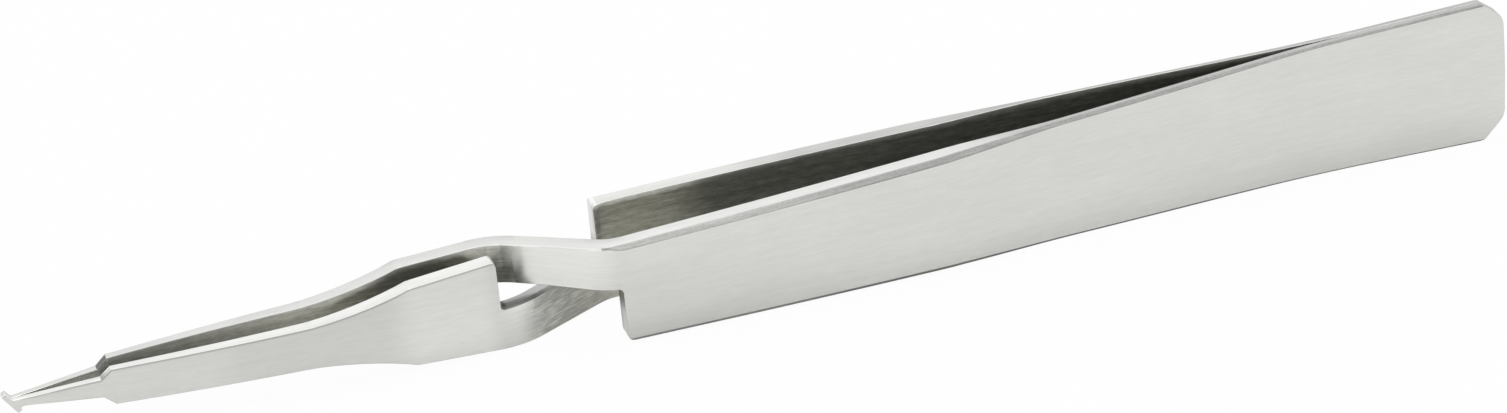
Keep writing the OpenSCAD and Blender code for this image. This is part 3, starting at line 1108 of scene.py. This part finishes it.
# %% Sheared faces
def sheared_rim():
    finish = Finish("sheared_rim")
    place, along, through, across = finish.blank_place()
    torn = finish.noise(place, (4000, 4000, 4000), 3.0, 0.7)
    wander = finish.noise(place, (1500, 0, 1500), 2.0, 0.5)
    torn_band = 1 - finish.between(through + 0.3 * mm * wander, 0.55 * mm, 0.75 * mm)
    step = finish.between(along, step_x - 1 * mm, step_x - 0.1 * mm)
    shaded_side = finish.between(across, 0, 0.1 * mm)
    lighter_end = finish.between(-1 * across, 0.4 * mm, 1.6 * mm)
    # Painted shade in the root of the notch beside the jaw, and on one face of the step.
    root_shade = finish.between(along, jaw_start - 0.7 * mm, jaw_start - 0.3 * mm)
    root_shade = root_shade * (1 - step) * finish.between(across, -0.6 * mm, 0)
    level = 0.42 + 0.42 * lighter_end + step * (0.32 - 0.6 * shaded_side)
    sheared = finish.tint(level * (1 - 0.8 * root_shade), 0.025)
    rough = finish.tint(0.2 + 0.5 * lighter_end, 0.04)
    finish.shade(
        base_color=finish.blend(torn_band * (0.6 + 0.4 * torn), sheared, rough),
        metallic=1.0,
        roughness=0.3 + 0.2 * torn_band,
        normal=finish.bump(torn * torn_band, 0.01 * mm, 0.8),
    )
    return finish.material


cut_faces = sheared_rim()
print("nodes of a sheared face:", len(cut_faces.node_tree.nodes))


# %% [markdown]
# Hands rub the edges bright. In the notch and on the inner side of the jaw they are painted dark, for
# the shade that falls there. On the outer side of the jaw the edges of the front arm get painted shade
# and those of the rear arm a little painted light. A pointiness or edge mask could find the edges in
# the shader, but the broken edges are faces of their own, so a plain material does.

# %% Worn edges
def worn_edge(name, jaw_painted_light):
    """An edge break, whose painted light on the outer side of the jaw differs by arm."""
    finish = Finish(name)
    place, along, through, across = finish.blank_place()
    rub = finish.between(finish.noise(place, (900, 900, 900), 3.0, 0.6), 0.35, 0.65)
    neck = finish.between(along, grip_end, grip_end + 2 * mm)
    jaw = finish.between(along, jaw_start - 1 * mm, jaw_start)
    on_blade = jaw * (1 - finish.between(along, tip_x - 5 * mm, tip_x - 2 * mm))
    in_notch = neck * (1 - finish.between(across, 1 * mm, 2 * mm)) * (1 - jaw)
    inner = 1 - finish.between(through, 0.1 * mm, 0.25 * mm)
    # Painted shade in the notch and on the inner side of the jaw, and painted light and shade by arm on
    # its outer side.
    level = 0.64 + 0.2 * rub * (1 - neck) + 0.22 * neck - 0.55 * in_notch
    level = level - 0.5 * on_blade * inner + jaw_painted_light * on_blade * (1 - inner)
    finish.shade(
        base_color=finish.tint(level, 0.02),
        metallic=1.0,
        roughness=0.24,
    )
    return finish.material


front_worn = worn_edge("front_worn", -0.42)
rear_worn = worn_edge("rear_worn", 0.1)
print("nodes of a worn edge:", len(front_worn.node_tree.nodes))


# %% [markdown]
# The two weld nuggets are hidden between the heels. They need no more than the dull,
# grainy grey of molten steel. They are solids of the frame, so their noise reads Object
# coordinates.

# %% Weld nuggets
def weld_nugget():
    finish = Finish("weld_nugget")
    place = finish.node("ShaderNodeTexCoord", {}, {})["Object"]
    grain = finish.noise(place, (4000, 4000, 4000), 3.0, 0.6)
    finish.shade(
        base_color=finish.blend(grain, grey(0.4, 0.04), grey(0.6, 0.04)),
        metallic=1.0,
        roughness=0.4 + 0.2 * grain,
    )
    return finish.material


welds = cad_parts["spot_welds"]
welds.data.materials.clear()
welds.data.materials.append(weld_nugget())
print("finish of the welds:", welds.data.materials[0].name)

# %% Finishes of the strips
front_finishes = [front_sides, bevels, front_rim, cut_faces, front_worn]
rear_finishes = [rear_sides, bevels, rear_rim, cut_faces, rear_worn]
for strip, finishes in ((front_strip, front_finishes), (rear_strip, rear_finishes)):
    for material in finishes:
        strip.data.materials.append(material)
    print(strip.name, "wears", ", ".join(material.name for material in finishes))


# %% [markdown]
# The tool stands on a pale floor in a white tent. The camera has to see both as white,
# and the steel has to mirror a white tent, while the light that falls on things stays
# softer. More light would whiten the floor as well, but it would burn out the steel. So
# the floor shows the camera mostly a white glow, and mirror rays only a trace of it. It
# keeps a breath of the tool's shadow.

# %% Floor
def pale_floor():
    finish = Finish("pale_floor")
    rays = finish.node("ShaderNodeLightPath", {}, {})
    camera, mirror, glass = rays["Is Camera Ray"], rays["Is Glossy Ray"], rays["Is Transmission Ray"]
    finish.shade(base_color=grey(0.86, 0), roughness=0.9)
    white = finish.node("ShaderNodeEmission", {}, {"Color": (1, 1, 1, 1), "Strength": 1.0})[0]
    paper = Value(finish, finish.shader.outputs[0])
    share = 0.96 * camera + 0.08 * mirror + 0.08 * glass
    mixed = finish.node("ShaderNodeMixShader", {}, {0: share, 1: paper, 2: white})[0]
    finish.put(finish.tree.nodes["Material Output"].inputs["Surface"], mixed)
    return finish.material


floor_size = 3.0
floor_bm = bmesh.new()
bmesh.ops.create_grid(floor_bm, x_segments=1, y_segments=1, size=floor_size / 2)
floor_mesh = bpy.data.meshes.new("floor")
floor_bm.to_mesh(floor_mesh)
floor_bm.free()
floor_mesh.materials.append(pale_floor())
floor = bpy.data.objects.new("floor", floor_mesh)
bpy.context.scene.collection.objects.link(floor)
print("floor in metres:", floor_size)

# %% World
tent_light = 0.75
world = bpy.data.worlds.new("white_tent")
bpy.context.scene.world = world
world.use_nodes = True
tent = Nodes(world.node_tree)
rays = tent.node("ShaderNodeLightPath", {}, {})
seen = rays["Is Camera Ray"] + rays["Is Glossy Ray"] + rays["Is Transmission Ray"]
strength = tent.node("ShaderNodeMapRange", {}, {"Value": seen, "To Min": tent_light, "To Max": 1.0})[0]
background = world.node_tree.nodes["Background"]
tent.put(background.inputs["Color"], (1, 1, 1, 1))
tent.put(background.inputs["Strength"], strength)
print("plain light of the tent:", tent_light)


# %% [markdown]
# Two soft boxes do the rest: one overhead, and a wide one behind the tool, low enough
# for the upper rims to mirror it. A lamp's power is its brightness times its area
# times pi, so they are set by how bright they look.

# %% Lamps
def soft_box(name, place, width, height, brightness):
    """A rectangular lamp that faces the tool and looks as bright as it is told."""
    lamp = bpy.data.lights.new(name, "AREA")
    lamp.shape = "RECTANGLE"
    lamp.size, lamp.size_y = width, height
    lamp.energy = brightness * math.pi * width * height
    box = bpy.data.objects.new(name, lamp)
    box.location = place
    box.rotation_euler = (-Vector(place)).to_track_quat("-Z", "Y").to_euler()
    bpy.context.scene.collection.objects.link(box)
    print(name, "power in watts:", round(lamp.energy, 2))


soft_box("overhead_box", (0.05, 0.1, 0.6), 0.6, 0.4, 1.3)
soft_box("back_box", (-0.05, 0.7, 0.38), 0.9, 0.35, 0.15)

# %% [markdown]
# The camera stands where the photograph was taken from, with a long lens a little over
# a third of a metre away. It looks down over the front arm and is rolled a little. A
# Track To constraint could aim it, but it can't roll, so the three axes of the view are
# worked out.

# %% Camera
view_azimuth = math.radians(16.001)
view_elevation = math.radians(27.352)
view_roll = math.radians(3.749)
view_distance = 363.8 * mm
view_aim = Vector((-1.473, 1.342, 5.734)) * mm
view_lens = 119.43

camera_data = bpy.data.cameras.new("camera")
camera_data.lens = view_lens
camera_data.clip_start, camera_data.clip_end = 0.01, 10
camera = bpy.data.objects.new("camera", camera_data)
bpy.context.scene.collection.objects.link(camera)
bpy.context.scene.camera = camera
forward = Vector((
    math.sin(view_azimuth) * math.cos(view_elevation),
    math.cos(view_azimuth) * math.cos(view_elevation),
    -math.sin(view_elevation),
))
right = forward.cross(Vector((0, 0, 1))).normalized()
up = right.cross(forward)
rolled_right = right * math.cos(view_roll) - up * math.sin(view_roll)
rolled_up = right * math.sin(view_roll) + up * math.cos(view_roll)
facing = Matrix((rolled_right, rolled_up, -forward)).transposed().to_4x4()
camera.matrix_world = Matrix.Translation(view_aim - view_distance * forward) @ facing
bpy.context.scene.view_settings.view_transform = "Standard"
print("camera at mm:", [round(v / mm, 1) for v in camera.matrix_world.translation])
